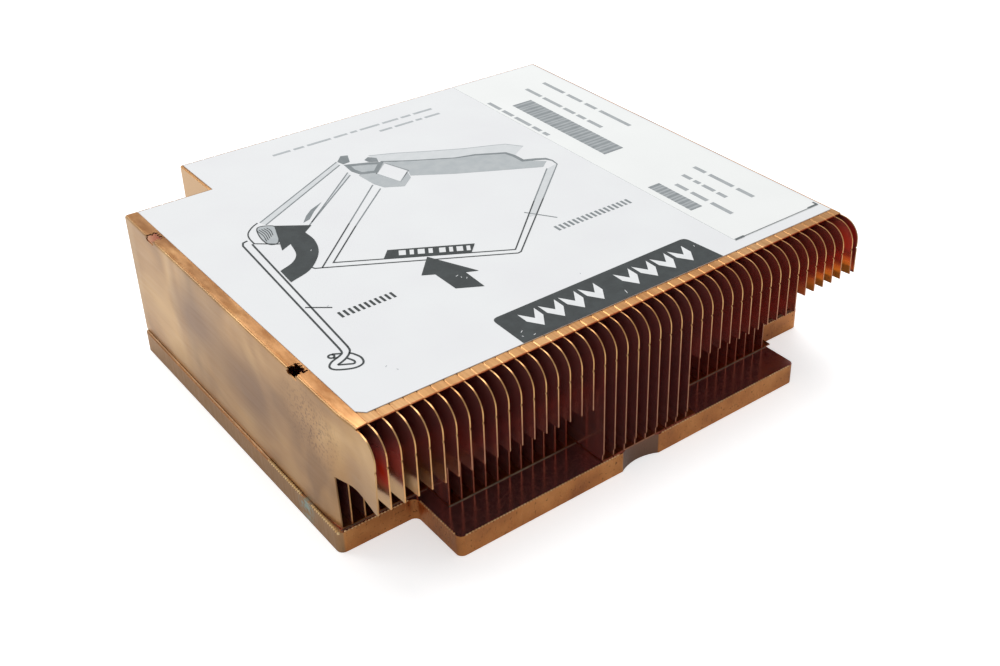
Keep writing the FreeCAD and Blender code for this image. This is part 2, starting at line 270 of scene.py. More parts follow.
def end_plate_copper():
    """The outermost fins: the same strip, handled more on its open face.

    Its clouds are wide and grey-brown, with paler bands towards the back, and it is painted a
    little browner towards the foot, a painted shade.  The left one has two darker ovals, a
    painted shade, and fine dark specks gather near its front.  The inner face keeps the red
    of the mill, and the roof strip is rubbed golden and blotched.
    """
    material, tree, place = new_material("handled_copper_strip_painted_shade")
    axes = add(tree, "SeparateXYZ", {0: place})
    clouds = add(tree, "TexNoise", {"Vector": place, "Scale": HAND_CLOUD, "Detail": 2,
                                    "Distortion": 0.6})
    # Painted shade: the open face is a little browner towards the foot.
    foot = add(tree, "MapRange", {"Value": axes.outputs["Z"], "From Min": 9 * MM,
                                  "From Max": 3.5 * MM, "To Max": 0.12})
    upright = add(tree, "Mapping", {"Vector": place, "Scale": (1, 1, 0.12)})
    bands = add(tree, "TexNoise", {"Vector": upright, "Scale": WIPED_BAND, "Detail": 1})
    bands = add(tree, "MapRange", {"Value": bands, "From Min": 0.45, "From Max": 0.62})
    back = add(tree, "MapRange", {"Value": axes.outputs["Y"], "From Min": -5 * MM,
                                  "From Max": 25 * MM, "To Max": 0.45})
    pale = add(tree, "Math", {0: bands, 1: back}, operation="MULTIPLY")
    layers = [(foot, "#8F6645"), (pale, "#D3B892")]
    # Two darker ovals on the left plate: painted shade.
    for y, z, long, high in ((8, 16.5, 10, 6.5), (-9, 13.5, 10.5, 7.5)):
        oval = spot(tree, place, (plate_low[0], y, z), (6, long, high), 0.7)
        oval = add(tree, "Math", {0: oval, 1: 0.85}, operation="MULTIPLY")
        layers.append((oval, "#8E6E54"))
    specks = add(tree, "TexNoise", {"Vector": place, "Scale": HAND_SPECK, "Detail": 2})
    specks = add(tree, "MapRange", {"Value": specks, "From Min": 0.52, "From Max": 0.66,
                                    "To Max": 0.7})
    near = spot(tree, place, (plate_low[0], -26.0, 18.0), (6, 8.5, 7.0), 0.8)
    specks = add(tree, "Math", {0: specks, 1: near}, operation="MULTIPLY")
    layers.append((specks, "#6E4D38"))
    open_face = add(tree, "ValToRGB", {"Fac": clouds},
                    [(0.32, "#9C7854"), (0.5, "#BB9366"), (0.68, "#D2AC79")])
    open_face = layered(tree, open_face, layers)

    roof = add(tree, "ValToRGB", {"Fac": clouds},
               [(0.32, "#C69060"), (0.5, "#DAA36E"), (0.7, "#F1BE84")])
    drawn = add(tree, "Mapping", {"Vector": place, "Scale": (1, 0.3, 1)})
    blotches = add(tree, "TexNoise", {"Vector": drawn, "Scale": ROOF_BLOTCH, "Detail": 3})
    shade = add(tree, "ValToRGB", {"Fac": blotches}, [(0.35, "#D9CDC0"), (0.6, "#FFFFFF")])
    roof = add(tree, "Mix", {0: 1.0, 6: roof, 7: shade}, data_type="RGBA",
               blend_type="MULTIPLY").outputs[2]
    colour = add(tree, "Mix", {0: facing(tree, "Z"), 6: open_face, 7: roof},
                 data_type="RGBA").outputs[2]
    colour = add(tree, "Mix", {0: facing_inwards(tree, place), 6: colour,
                               7: linear(MILL_DARK)}, data_type="RGBA").outputs[2]

    drawn = add(tree, "Mapping", {"Vector": place, "Scale": (1, 0.05, 1)})
    streaks = add(tree, "TexNoise", {"Vector": drawn, "Scale": HAND_STREAK, "Detail": 2})
    rough = add(tree, "MapRange", {"Value": streaks, "From Min": 0.3, "From Max": 0.7,
                                   "To Min": 0.3, "To Max": 0.37})
    wave = add(tree, "TexNoise", {"Vector": place, "Scale": PLATE_WAVE, "Detail": 2})
    finished(tree, colour, 1.0, rough, wave, depth=0.12, strength=0.5)
    return material


def milled_copper():
    """The base: a copper plate, milled round its edge and lapped on top.

    The lapped top is a dark mirror.  The edge is brown, with short cutter marks and pits,
    painted a greyer shade in the notch, and duller on the left, where a green-blue patch of
    patina stands.
    """
    material, tree, place = new_material("milled_copper_plate")
    axes = add(tree, "SeparateXYZ", {0: place})
    clouds = add(tree, "TexNoise", {"Vector": place, "Scale": BASE_CLOUD, "Detail": 4})
    pits = add(tree, "TexNoise", {"Vector": place, "Scale": BASE_PIT, "Detail": 2})
    pits = add(tree, "MapRange", {"Value": pits, "From Min": 0.62, "From Max": 0.72,
                                  "To Max": 0.7})
    # The notch's faces are painted grey-brown: a painted shade.
    deep = add(tree, "MapRange", {"Value": axes.outputs["Y"],
                                  "From Min": (base_low[1] + 0.02) * MM,
                                  "From Max": (base_low[1] + 0.1) * MM})
    about = spot(tree, place, (-0.5, base_low[1], 1.7), (5.5, 4.0, 4.0), 0.1)
    notch = add(tree, "Math", {0: deep, 1: about}, operation="MULTIPLY")
    lapped = facing(tree, "Z")
    left = add(tree, "MapRange", {"Value": axes.outputs["X"],
                                  "From Min": (base_low[0] + 0.9) * MM,
                                  "From Max": (base_low[0] + 0.6) * MM, "To Max": 0.9})
    patch = spot(tree, place, (base_low[0], -22.7, 2.2), (1.6, 2.6, 2.6), 0.7)
    crumbs = add(tree, "TexNoise", {"Vector": place, "Scale": PATINA_CRUMB, "Detail": 3})
    crumbs = add(tree, "MapRange", {"Value": crumbs, "From Min": 0.4, "From Max": 0.55})
    patina = add(tree, "Math", {0: patch, 1: crumbs}, operation="MULTIPLY")
    colour = add(tree, "ValToRGB", {"Fac": clouds},
                 [(0.3, "#AE7247"), (0.5, "#C88750"), (0.72, "#DC9C60")])
    colour = layered(tree, colour, [(pits, "#432618"), (notch, "#826656"),
                                    (lapped, "#D29994"), (left, "#A38463"),
                                    (patina, "#93A59C")])

    haze = add(tree, "MapRange", {"Value": lapped, "To Min": 1.0, "To Max": 0.92})
    metal = add(tree, "Mix", {0: patina, 2: haze, 3: 0.2})
    upright = add(tree, "Mapping", {"Vector": place, "Scale": (1, 1, 0.15)})
    cuts = add(tree, "TexNoise", {"Vector": upright, "Scale": CUTTER_MARK, "Detail": 2})
    rough = add(tree, "MapRange", {"Value": cuts, "From Min": 0.3, "From Max": 0.7,
                                   "To Min": 0.24, "To Max": 0.42})
    smoother = add(tree, "Math", {0: lapped, 1: 0.16}, operation="MULTIPLY")
    rough = add(tree, "Math", {0: rough, 1: smoother}, operation="SUBTRACT")
    duller = add(tree, "Math", {0: left, 1: 0.2}, operation="MULTIPLY")
    rough = add(tree, "Math", {0: rough, 1: duller}, operation="ADD")
    finished(tree, colour, metal, rough, cuts, depth=0.02, strength=0.4)
    return material


def paper(name, shades, roughness):
    """Paper with a press coat: nearly even, with a soft mottle and a faint grain."""
    material, tree, place = new_material(name)
    mottle = add(tree, "TexNoise", {"Vector": place, "Scale": PAPER_MOTTLE, "Detail": 2})
    colour = add(tree, "ValToRGB", {"Fac": mottle}, [(0.3, shades[0]), (0.7, shades[1])])
    grain = add(tree, "TexNoise", {"Vector": place, "Scale": PAPER_GRAIN, "Detail": 2})
    finished(tree, colour, 0.0, roughness, grain, depth=0.01, strength=0.3)
    return material


def ink(name, shades, roughness):
    """Printing ink on paper: nearly even, with the faint mottle of an offset press."""
    material, tree, place = new_material(name)
    mottle = add(tree, "TexNoise", {"Vector": place, "Scale": PRESS_MOTTLE, "Detail": 3})
    colour = add(tree, "ValToRGB", {"Fac": mottle}, [(0.35, shades[0]), (0.65, shades[1])])
    grit = add(tree, "TexNoise", {"Vector": place, "Scale": PRESS_GRIT, "Detail": 1})
    rough = add(tree, "MapRange", {"Value": grit, "To Min": roughness - 0.05,
                                   "To Max": roughness + 0.05})
    shader = add(tree, "BsdfPrincipled", {"Base Color": colour, "Roughness": rough,
                                          "Specular IOR Level": 0.3})
    add(tree, "OutputMaterial", {"Surface": shader})
    return material


def soft_solder(name, shades, roughness, metal):
    """Soft solder, set in a dull skin and tinted by the copper round it."""
    material, tree, place = new_material(name)
    tint = add(tree, "TexNoise", {"Vector": place, "Scale": SOLDER_TINT, "Detail": 2})
    colour = add(tree, "ValToRGB", {"Fac": tint}, [(0.35, shades[0]), (0.65, shades[1])])
    lumps = add(tree, "TexNoise", {"Vector": place, "Scale": SOLDER_LUMP, "Detail": 2})
    finished(tree, colour, metal, roughness, lumps, depth=0.02, strength=0.5)
    return material


# ---------------------------------------------------------------- mesh helpers
def link_piece(name, mesh, material):
    """Give a mesh its finish and let it ride on the heatsink."""
    mesh.materials.clear()
    mesh.materials.append(material)
    made = bpy.data.objects.new(name, mesh)
    bpy.context.scene.collection.objects.link(made)
    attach(made, "root")
    return made


class Shapes:
    """Closed solids gathered into one mesh, in millimetres in the row frame."""

    def __init__(self):
        self.points = []
        self.faces = []
        self.count = 0

    def add(self, points, faces):
        """Take in a solid's points and its faces, whose numbers move up by those before."""
        self.faces += [[self.count + index for index in face] for face in faces]
        self.points.append(np.asarray(points, float))
        self.count += len(points)

    def prism(self, outline, bottom, top):
        """An outline in X and Y, turned counter-clockwise, between two heights."""
        outline = np.asarray(outline, float)
        x, y = outline.T
        if np.sum(x * np.roll(y, -1) - np.roll(x, -1) * y) < 0:
            outline = outline[::-1]
        count = len(outline)
        low = np.column_stack([outline, np.full(count, bottom)])
        high = np.column_stack([outline, np.full(count, top)])
        step = np.arange(count)
        follow = (step + 1) % count
        sides = np.column_stack([step, follow, follow + count, step + count]).tolist()
        caps = [list(range(count, 2 * count)), list(range(count - 1, -1, -1))]
        self.add(np.vstack([low, high]), sides + caps)

    def piece(self, name, material, slot):
        """Make the mesh and its object."""
        mesh = bpy.data.meshes.new(name)
        mesh.from_pydata((np.vstack(self.points) * MM).tolist(), [], self.faces)
        return link_piece(name, mesh, material)


# The least cosine that a mitre counts with, so that the point of a sharp turn stays short.
SHARPEST_MITRE = 0.35


def line_sides(path, width, closed=False):
    """The two sides of a line: each point moves by half the width along its mitre."""
    path = np.asarray(path, float)
    ahead = np.roll(path, -1, axis=0) - path
    if not closed:
        ahead[-1] = ahead[-2]
    ahead /= np.linalg.norm(ahead, axis=1)[:, None]
    behind = np.roll(ahead, 1, axis=0)
    if not closed:
        behind[0] = ahead[0]
    normal = np.column_stack([-(ahead + behind)[:, 1], (ahead + behind)[:, 0]])
    normal /= np.linalg.norm(normal, axis=1)[:, None]
    square = np.column_stack([-ahead[:, 1], ahead[:, 0]])
    reach = width / 2 / np.clip((normal * square).sum(axis=1), SHARPEST_MITRE, None)
    return path + normal * reach[:, None], path - normal * reach[:, None]


def smooth(points, steps=8, closed=False):
    """A curve through the points: the Catmull-Rom blend of each four neighbours."""
    points = np.asarray(points, float)
    if closed:
        ring = np.vstack([points[-1:], points, points[:2]])
    else:
        ring = np.vstack([2 * points[0] - points[1], points, 2 * points[-1] - points[-2]])
    t = np.linspace(0, 1, steps, endpoint=False)[:, None, None]
    a, b, c, d = ring[:-3], ring[1:-2], ring[2:-1], ring[3:]
    curve = 0.5 * (2 * b + (c - a) * t + (2 * a - 5 * b + 4 * c - d) * t ** 2
                   + (3 * b - a - 3 * c + d) * t ** 3)
    curve = curve.transpose(1, 0, 2).reshape(-1, 2)
    return curve if closed else np.vstack([curve, points[-1:]])


ROUND_STEPS = 6


def rounded(corners, radius):
    """A polygon with soft corners: each point turns into a parabola of a few steps."""
    corners = np.asarray(corners, float)
    to_last = np.roll(corners, 1, axis=0) - corners
    to_next = np.roll(corners, -1, axis=0) - corners
    to_last /= np.linalg.norm(to_last, axis=1)[:, None]
    to_next /= np.linalg.norm(to_next, axis=1)[:, None]
    start = corners + to_last * radius
    end = corners + to_next * radius
    t = np.linspace(0, 1, ROUND_STEPS)[:, None, None]
    curve = (1 - t) ** 2 * start + 2 * t * (1 - t) * corners + t ** 2 * end
    return curve.transpose(1, 0, 2).reshape(-1, 2)


def circle(centre, radius, steps=24):
    """Points round a circle."""
    angle = np.linspace(0, 2 * math.pi, steps, endpoint=False)
    return np.asarray(centre) + radius * np.column_stack([np.cos(angle), np.sin(angle)])


# ---------------------------------------------------------------- the end plate
# Lengths are in millimetres: Y from the front of the roof, Z from the foot of the plate.
GAUGE = 0.2
MIDDLE = GAUGE / 2
FOLD = 0.3
RISE = plate_high[2] - plate_low[2]
HEEL = MIDDLE + FOLD
CROWN = RISE - MIDDLE - FOLD
NOSE_REACH = 4.0
NOSE_RADIUS = 3.1
NICK = 16.6
RECESS = 7.0
WING_FRONT = 10.1
WING_BACK = 9.14
ROOF_WIDTH = 2.0
LUG_TIP = 3.3
LUG_HALF = 1.05
SLOTS = (15.2, 59.4)
SLOT_HALF = 1.2
SLOT_DEPTH = 1.5


def dent(y, share):
    """How far the sheet is pushed in: a broken line of Y at the foot and one at the roof,
    each rounded by its mean over a short stretch, and blended by the share of the height."""
    stretch = np.linspace(-1.3, 1.3, 9)
    foot = np.mean([np.interp(y + step, (-4.2, 3.3, 7.0, 12.0), (-0.35, 1.9, 0.4, 0))
                    for step in stretch], axis=0)
    roof = np.mean([np.interp(y + step, (0, 3.4), (0.44, 0)) for step in stretch], axis=0)
    return foot * (1 - share) + roof * share


def plate_profile():
    """The profile's X and Z: foot, fold, web, fold, roof and lug, each fold a quarter circle.

    With them come the places in it where the wing starts and where the web ends.
    """
    bend = np.linspace(0, math.pi / 2, 5)[1:-1]
    low_rows = np.linspace(HEEL, WING_BACK, 7)[:-1]
    high_rows = np.linspace(WING_BACK, CROWN, 56)
    roof_rows = np.arange(HEEL, ROOF_WIDTH, 0.2)
    profile_x = np.concatenate([[ROOF_WIDTH, 1.2, HEEL], HEEL - FOLD * np.sin(bend),
                                np.full(len(low_rows) + len(high_rows), MIDDLE),
                                HEEL - FOLD * np.cos(bend), roof_rows, [ROOF_WIDTH, LUG_TIP]])
    profile_z = np.concatenate([[MIDDLE] * 3, HEEL - FOLD * np.cos(bend), low_rows, high_rows,
                                CROWN + FOLD * np.sin(bend),
                                np.full(len(roof_rows) + 2, RISE - MIDDLE)])
    wing_start = 3 + len(bend) + len(low_rows)
    return profile_x, profile_z, wing_start, wing_start + len(high_rows)


def plate_columns():
    """Where along Y the profile stands: closest at the nose and at the two slots."""
    near_slots = [np.arange(slot - 1.65, slot + 1.66, 0.15) for slot in SLOTS]
    back = plate_high[1] - plate_low[1] - NOSE_REACH
    return np.concatenate([np.arange(-NOSE_REACH, 0, 0.25), np.arange(0, RECESS - 0.2, 0.35),
                           [RECESS], np.arange(RECESS + 0.5, 13.5, 0.5),
                           near_slots[0], np.arange(17.5, 57.5, 1.0),
                           near_slots[1], np.arange(61.5, 68, 1.0), [back]])


def kept_cells(row, across, profile_x, wing_start, web_end):
    """Which cells are sheet: all but the corner under the wing, the one over the nose, the
    slots, whose edges waver with sines as if torn, and what lies beside the two lugs."""
    keep = (row >= wing_start) | (across > RECESS)
    keep &= (row < web_end - 1) | (across > 0)
    roof_run = profile_x[:-1, None] * (row >= web_end)
    beside = [np.abs(across - slot) for slot in SLOTS]
    for slot, away in zip(SLOTS, beside):
        torn = 0.14 * np.sin(row * 2.3) + 0.1 * np.sin(row * 5.1 + slot)
        ragged = SLOT_DEPTH + 0.2 * np.sin(across * 9.0) + 0.12 * np.sin(across * 23.0)
        inside = (away < SLOT_HALF + torn) & (row >= web_end - 3) & (roof_run < ragged)
        keep &= ~(inside & (row < len(profile_x) - 3))
    return keep & ((row < len(profile_x) - 2) | (np.min(beside, axis=0) < LUG_HALF))


def end_plate():
    """The first fin as one folded sheet: the middle surface of a sheet 0.2 mm thick.

    The profile is carried to the back: the point at profile place i and column j is
    (x_i + dent, y_j, z_i).  In front of the recess a row stands at
    slope(y) + share * (crown - slope(y)), where slope is the wing's lower edge, and the front
    columns are drawn in to the nose: a quarter circle of Z with a nick.
    """
    profile_x, profile_z, wing_start, web_end = plate_profile()
    columns = plate_columns()
    x, y = np.meshgrid(profile_x, columns, indexing="ij")
    z = np.repeat(profile_z[:, None], len(columns), axis=1)
    on_roof = np.arange(len(profile_x))[:, None] >= web_end

    slope = WING_FRONT + (y + NOSE_REACH) * (WING_BACK - WING_FRONT) / (NOSE_REACH + RECESS)
    share = (z - WING_BACK) / (CROWN - WING_BACK)
    z = np.where(~on_roof & (y < RECESS), slope + share * (CROWN - slope), z)
    over = np.clip(z - (CROWN - NOSE_RADIUS), 0, NOSE_RADIUS)
    nose = NOSE_RADIUS - NOSE_REACH - np.sqrt(NOSE_RADIUS ** 2 - over ** 2)
    nose = nose + np.clip(GAUGE - np.abs(z - NICK), 0, None)
    y = np.where(~on_roof & (y < 0), y * -nose / NOSE_REACH, y)

    reach = np.clip(1 - (x - HEEL) / (ROOF_WIDTH - HEEL), 0, 1)
    x = x + dent(y, z / RISE) * np.where(on_roof, reach, 1)
    sag = 0.1 * np.clip(1 - y / 4, 0, 1) ** 2 + 0.025 * np.sin(y * 0.55) * np.cos(y * 0.21)
    z = z - np.where(on_roof, reach * sag, 0)

    row = np.arange(len(profile_x) - 1)[:, None]
    across = (columns[:-1] + columns[1:])[None, :] / 2
    keep = kept_cells(row, across, profile_x, wing_start, web_end)
    count = len(columns)
    first = (row * count + np.arange(count - 1)[None, :])[keep]
    faces = np.column_stack([first, first + count, first + count + 1, first + 1])
    points = np.stack([x, y, z], axis=-1).reshape(-1, 3)
    used, faces = np.unique(faces, return_inverse=True)
    corner = (plate_low[0], plate_low[1] + NOSE_REACH, plate_low[2])
    mesh = bpy.data.meshes.new("end_plate_sheet")
    mesh.from_pydata(((points[used] + corner) * MM).tolist(), [], faces.reshape(-1, 4).tolist())
    return mesh


def thicken(mesh, thickness, crease):
    """Give a sheet its even thickness, smooth up to the crease angle in degrees."""
    mesh.shade_smooth()
    holder = bpy.data.objects.new("holder", mesh)
    bpy.context.scene.collection.objects.link(holder)
    shell = holder.modifiers.new("Solidify", "SOLIDIFY")
    shell.thickness = thickness * MM
    shell.offset = 0
    shell.use_even_offset = True
    seen = holder.evaluated_get(bpy.context.evaluated_depsgraph_get())
    solid = bpy.data.meshes.new_from_object(seen)
    solid.set_sharp_from_angle(angle=math.radians(crease))
    bpy.data.objects.remove(holder)
    return solid


# ---------------------------------------------------------------- the print on the paper
# Real ink is thinner; so much a layer keeps the films apart to the eye.
INK_THICKNESS = 0.012
THIN = 0.2
WIDE = 0.27
HAIR = 0.12
STROKE = 0.09


class Print(Shapes):
    """Ink on a sheet, in millimetres from the sheet's front left corner.

    A higher layer is a thicker film, so it covers the layers that it crosses.
    """

    def __init__(self, sheet_low, sheet_top, layer):
        super().__init__()
        self.corner = sheet_low[:2]
        self.bottom = sheet_top
        self.top = sheet_top + layer * INK_THICKNESS

    def area(self, outline):
        """A filled outline."""
        self.prism(np.asarray(outline, float) + self.corner, self.bottom, self.top)

    def line(self, path, width):
        """A drawn line, of one width or a width for each point: its two sides make an outline."""
        left, right = line_sides(path, width)
        self.area(np.vstack([right, left[::-1]]))

    def loop(self, path, width):
        """A closed line: a flat ring between the two sides of the path."""
        left, right = line_sides(path, width, closed=True)
        count = len(left)
        ring = np.vstack([left, right]) + self.corner
        points = np.vstack([np.column_stack([ring, np.full(2 * count, height)])
                            for height in (self.bottom, self.top)])
        step = np.arange(count)
        follow = (step + 1) % count
        left_low, right_low, left_high, right_high = (k * count for k in range(4))
        faces = []
        for first, second in ((right_high, left_high), (left_high, left_low),
                              (left_low, right_low), (right_low, right_high)):
            faces += np.column_stack([first + step, first + follow,
                                      second + follow, second + step]).tolist()
        self.add(points, faces)


def bars(target, start, end, height, shares, gap):
    """Bars side by side along a line, each as wide as its share, with an even gap between."""
    start, end = np.asarray(start, float), np.asarray(end, float)
    places = np.cumsum([0] + [share + gap for share in shares])
    along = (end - start) / (places[-1] - gap)
    up = np.array([-along[1], along[0]]) / np.linalg.norm(along) * height
    for share, place in zip(shares, places):
        low = start + along * place
        high = low + along * share
        target.area([low, high, high + up, low + up])


def push_marks(target, start, end, height):
    """Four chevrons in a row that point to the front edge."""
    start, end = np.asarray(start, float), np.asarray(end, float)
    along = (end - start) / 4
    wide, half = along[0] * 0.8, height / 2
    for index in range(4):
        x, y = start + along * index
        target.area([(x, y + height), (x, y + half), (x + wide / 2, y),
                     (x + wide, y + half), (x + wide, y + height), (x + wide / 2, y + half)])


def push_block(dark, white):
    """The black block at the front edge, with two groups of marks for its two words."""
    front = [(24.8, 0), (61.4, 0)]
    back = rounded(front + [(60.6, 7.5), (24.8, 7.3)], 1)[len(front) * ROUND_STEPS:]
    dark.area(np.vstack([front, back]))
    push_marks(white, (28.2, 1.7), (42.2, 1.7), 4.3)
    push_marks(white, (45.2, 1.7), (59.2, 1.7), 4.3)


def drawn_heatsink(inks):
    """The drawing's heatsink: a plate in thin double lines, shaded along its back."""
    for path in ([(12.6, 35.1), (12.9, 34.2), (13.8, 33.7), (38.4, 19.5), (39, 19.6),
                  (52, 31.1)],
                 [(24, 41.6), (15.8, 34), (38.7, 20.6), (50.2, 31.2)],
                 [(13.8, 33.7), (23.6, 42.9)]):
        inks["fine"].line(path, THIN)
    for path in ([(24, 41.6), (33.5, 50)], [(50.2, 31.2), (58.9, 39.1)],
                 [(23.6, 42.9), (33.2, 51.9)]):
        inks["soft"].line(path, THIN)
    inks["pale"].area([(38.9, 57.9), (42.8, 55.7), (49.3, 51.9), (52.6, 50.8), (57, 48.2),
                       (57.6, 44), (60.6, 41.4), (58.8, 40), (53.2, 43), (45.9, 47),
                       (39.8, 51), (40.5, 52.8)])
    inks["faint"].area([(61.2, 39.6), (58.9, 39), (46.3, 27.5), (47.6, 27.2)])
    inks["dark"].area([(22, 30.3), (33.1, 23.9), (35, 25.8), (23.8, 32.2)])
    for start, end in (((24.3, 29.8), (28.6, 27.3)), ((29.4, 26.8), (33.4, 24.5))):
        bars(inks["white"], start, end, 1.4, (1, 0.6, 1, 0.6), 0.55)


def drawn_frame(inks):
    """The drawing's frame: two arms on the left, a bar and a clip along the back."""
    bar_back = [(38.3, 61.7), (42, 60), (47.1, 57), (52.4, 54.1), (56.8, 52.2),
                (59.1, 51.1), (61, 48.5)]
    bar_front = [(57.5, 46.4), (57, 48.2), (52.6, 50.8), (49.3, 51.9), (42.8, 55.7),
                 (38.7, 58.5)]
    inks["faint"].area(bar_back + bar_front)
    inks["pale"].line(bar_back, THIN)
    plate_corner = [(52, 31.1), (61.3, 39.4), (61.5, 41), (61, 42.2), (59.5, 43.1),
                    (57.6, 44)]
    inks["soft"].line(plate_corner + bar_front,
                      np.array([THIN, THIN, 0.3, 0.6, 0.7, 0.7, 0.7, 0.6, 0.5, 0.3, 0.3, 0.3]))
    for outer, inner in (([(13.1, 51.6), (32.8, 62.9)], [(13.5, 50.4), (32.7, 61.6)]),
                         ([(19.3, 46.8), (32.3, 58.3)], [(18.6, 46.2), (32.1, 57.2)])):
        inks["faint"].area(outer + inner[::-1])
        inks["soft"].line(outer, THIN)
        inks["soft"].line(inner, THIN)
    bracket = [(33.6, 60.6), (36.6, 59.2), (38.4, 58), (36.1, 55.7), (33.9, 56.7), (33.4, 58.4)]
    inks["pale"].area(bracket)
    inks["soft"].loop(bracket, 0.8)
    inks["soft"].area([(33, 62.9), (34.5, 64.5), (35.6, 64), (34.6, 61.6), (33.3, 61.5)])
    inks["soft"].area([(36.9, 60.7), (37.9, 61.3), (38.9, 60.1), (38.4, 58.7), (37.1, 59.6)])
    inks["pale"].area([(33.9, 56.9), (36.1, 55.4), (35.7, 54.8), (37.2, 49.9), (40.2, 52.6),
                       (39.5, 50.4), (37, 48.3), (34.2, 50), (33.5, 52), (33.2, 56.2)])
    inks["pale"].loop([(38.9, 57.7), (35.8, 55), (37.3, 50.1), (40.5, 52.8)], THIN)


def drawn_hinge(inks):
    """The coil that the lever turns on: a grey barrel with its windings drawn across."""
    barrel = smooth([(12, 50.3), (13.9, 49.7), (14.2, 48.4), (13, 45.3), (12, 44.1),
                     (11, 44.8), (11, 47.4)], closed=True)
    inks["pale"].area(barrel)
    inks["fine"].loop(barrel, 0.16)
    for shift in np.linspace(0.1, 1.7, 5):
        inks["fine"].line(smooth([(11.1 + shift, 45.6 + shift * 0.7),
                                  (11.5 + shift, 47.6 + shift * 0.4),
                                  (11.4 + shift, 49.6 - shift * 0.1)], 5), HAIR)
    inks["fine"].line(smooth([(12.7, 51.7), (11.5, 51), (10.2, 49.7), (9.6, 48.2),
                              (9.4, 46.1)]), THIN)
    inks["fine"].line([(9.4, 46.2), (12, 44), (13.3, 43.2)], THIN)
    inks["soft"].area([(18.3, 47.5), (19.7, 49.2), (21.2, 50.5), (23.7, 51.7), (21.3, 49.7),
                       (19.6, 47.9)])


def drawn_lever(inks):
    """The lever: a long double line, bent into a loop with a round end at the front."""
    for path in ([(9, 47.6), (8.2, 47.4), (7.8, 46.6), (5.3, 13.9)], [(9.1, 46.2), (6.4, 13.7)],
                 smooth([(5.3, 14), (5.1, 13), (4.4, 12.5), (2.9, 11.9), (2.2, 11),
                         (2.7, 10), (4.6, 9), (6, 9.2), (6.5, 10.4), (6.2, 11.7),
                         (5.8, 12.4)]),
                 smooth([(6.4, 13.8), (6.2, 12.9), (5.6, 12.1), (4.6, 11.4), (3.3, 10.9)]),
                 smooth([(3.3, 10.9), (4.3, 10.3), (5.1, 9.9), (5.4, 10.4), (5, 11.5)]),
                 [(3.9, 13.5), (4.9, 12.9)], [(3.6, 12.6), (4.1, 12.3)]):
        inks["fine"].line(path, WIDE)
    inks["fine"].loop(circle((3.6, 13.1), 0.4), WIDE)


def arrows(inks):
    """A curved arrow that turns the lever up and a straight one that pushes the plate."""
    outer = smooth([(8.4, 32.9), (12.3, 34.4), (15.5, 37.8), (16.9, 41.4), (17, 44.6)])
    inner = smooth([(13.6, 42.8), (12.8, 39.6), (11.2, 37.7), (8.7, 36.6)])
    inks["dark"].area(np.vstack([outer, [(18.8, 46), (14.3, 49.3), (11.7, 41.8)], inner]))
    inks["dark"].area([(27.3, 26.9), (23.8, 23), (25.5, 22), (25.6, 17), (29.1, 15),
                       (29.2, 19.8), (30.9, 19)])


def notes(inks):
    """Two pointed-out names and the small print at the back, all as plain bars."""
    inks["fine"].line([(6.7, 25.7), (9.6, 23.4)], THIN)
    inks["soft"].line([(46.7, 29.1), (49.7, 24.6)], THIN)
    bars(inks["fine"], (9.4, 20.3), (18, 20.3), 1.5, (1,) * 11, 1.2)
    bars(inks["soft"], (47.4, 21.1), (62, 21.1), 1.5, (1,) * 17, 1.1)
    bars(inks["pale"], (25.7, 71.4), (57.5, 71.4), 0.6, (5, 3, 7, 4, 2, 6, 5, 3, 6), 1)
    bars(inks["pale"], (45, 68.8), (57.5, 68.8), 0.6, (4, 6, 2, 5), 1)


def flecks(inks):
    """Chips in the black print and a few scuffs on the white, each a short stroke."""
    chips = ((27.4, 19.6, 0.5, 0.3), (27.9, 18.8, 0.35, 1.4), (28.3, 18.2, 0.4, 0.8),
             (26, 2.2, 0.5, 0.6), (25.7, 1.2, 0.3, 2), (27, 0.7, 0.4, 0.2),
             (60, 4.6, 0.4, 1.2), (14.9, 39, 0.35, 0.9), (43.6, 0.9, 0.9, 1.3))
    scuffs = ((9.2, 24.1, 0.3, 0.3), (7.8, 6.7, 0.4, 0.6), (8.8, 5.2, 0.3, 1.9),
              (41.8, 9.1, 0.3, 1.2), (25.4, 5.4, 0.6, 1.3))
    for ink_name, strokes in (("white", chips), ("pale", scuffs)):
        for x, y, long, turn in strokes:
            tip = (x + math.cos(turn) * long, y + math.sin(turn) * long)
            inks[ink_name].line([(x, y), tip], STROKE)


def label_print():
    """The label's print, by ink: three greys, black lines, solid black and bare white."""
    names = ("faint", "pale", "soft", "fine", "dark", "white")
    inks = {name: Print(label_low, label_high[2], layer)
            for layer, name in enumerate(names, start=1)}
    push_block(inks["dark"], inks["white"])
    for draw in (drawn_heatsink, drawn_frame, drawn_hinge, drawn_lever, arrows, notes, flecks):
        draw(inks)
    return inks


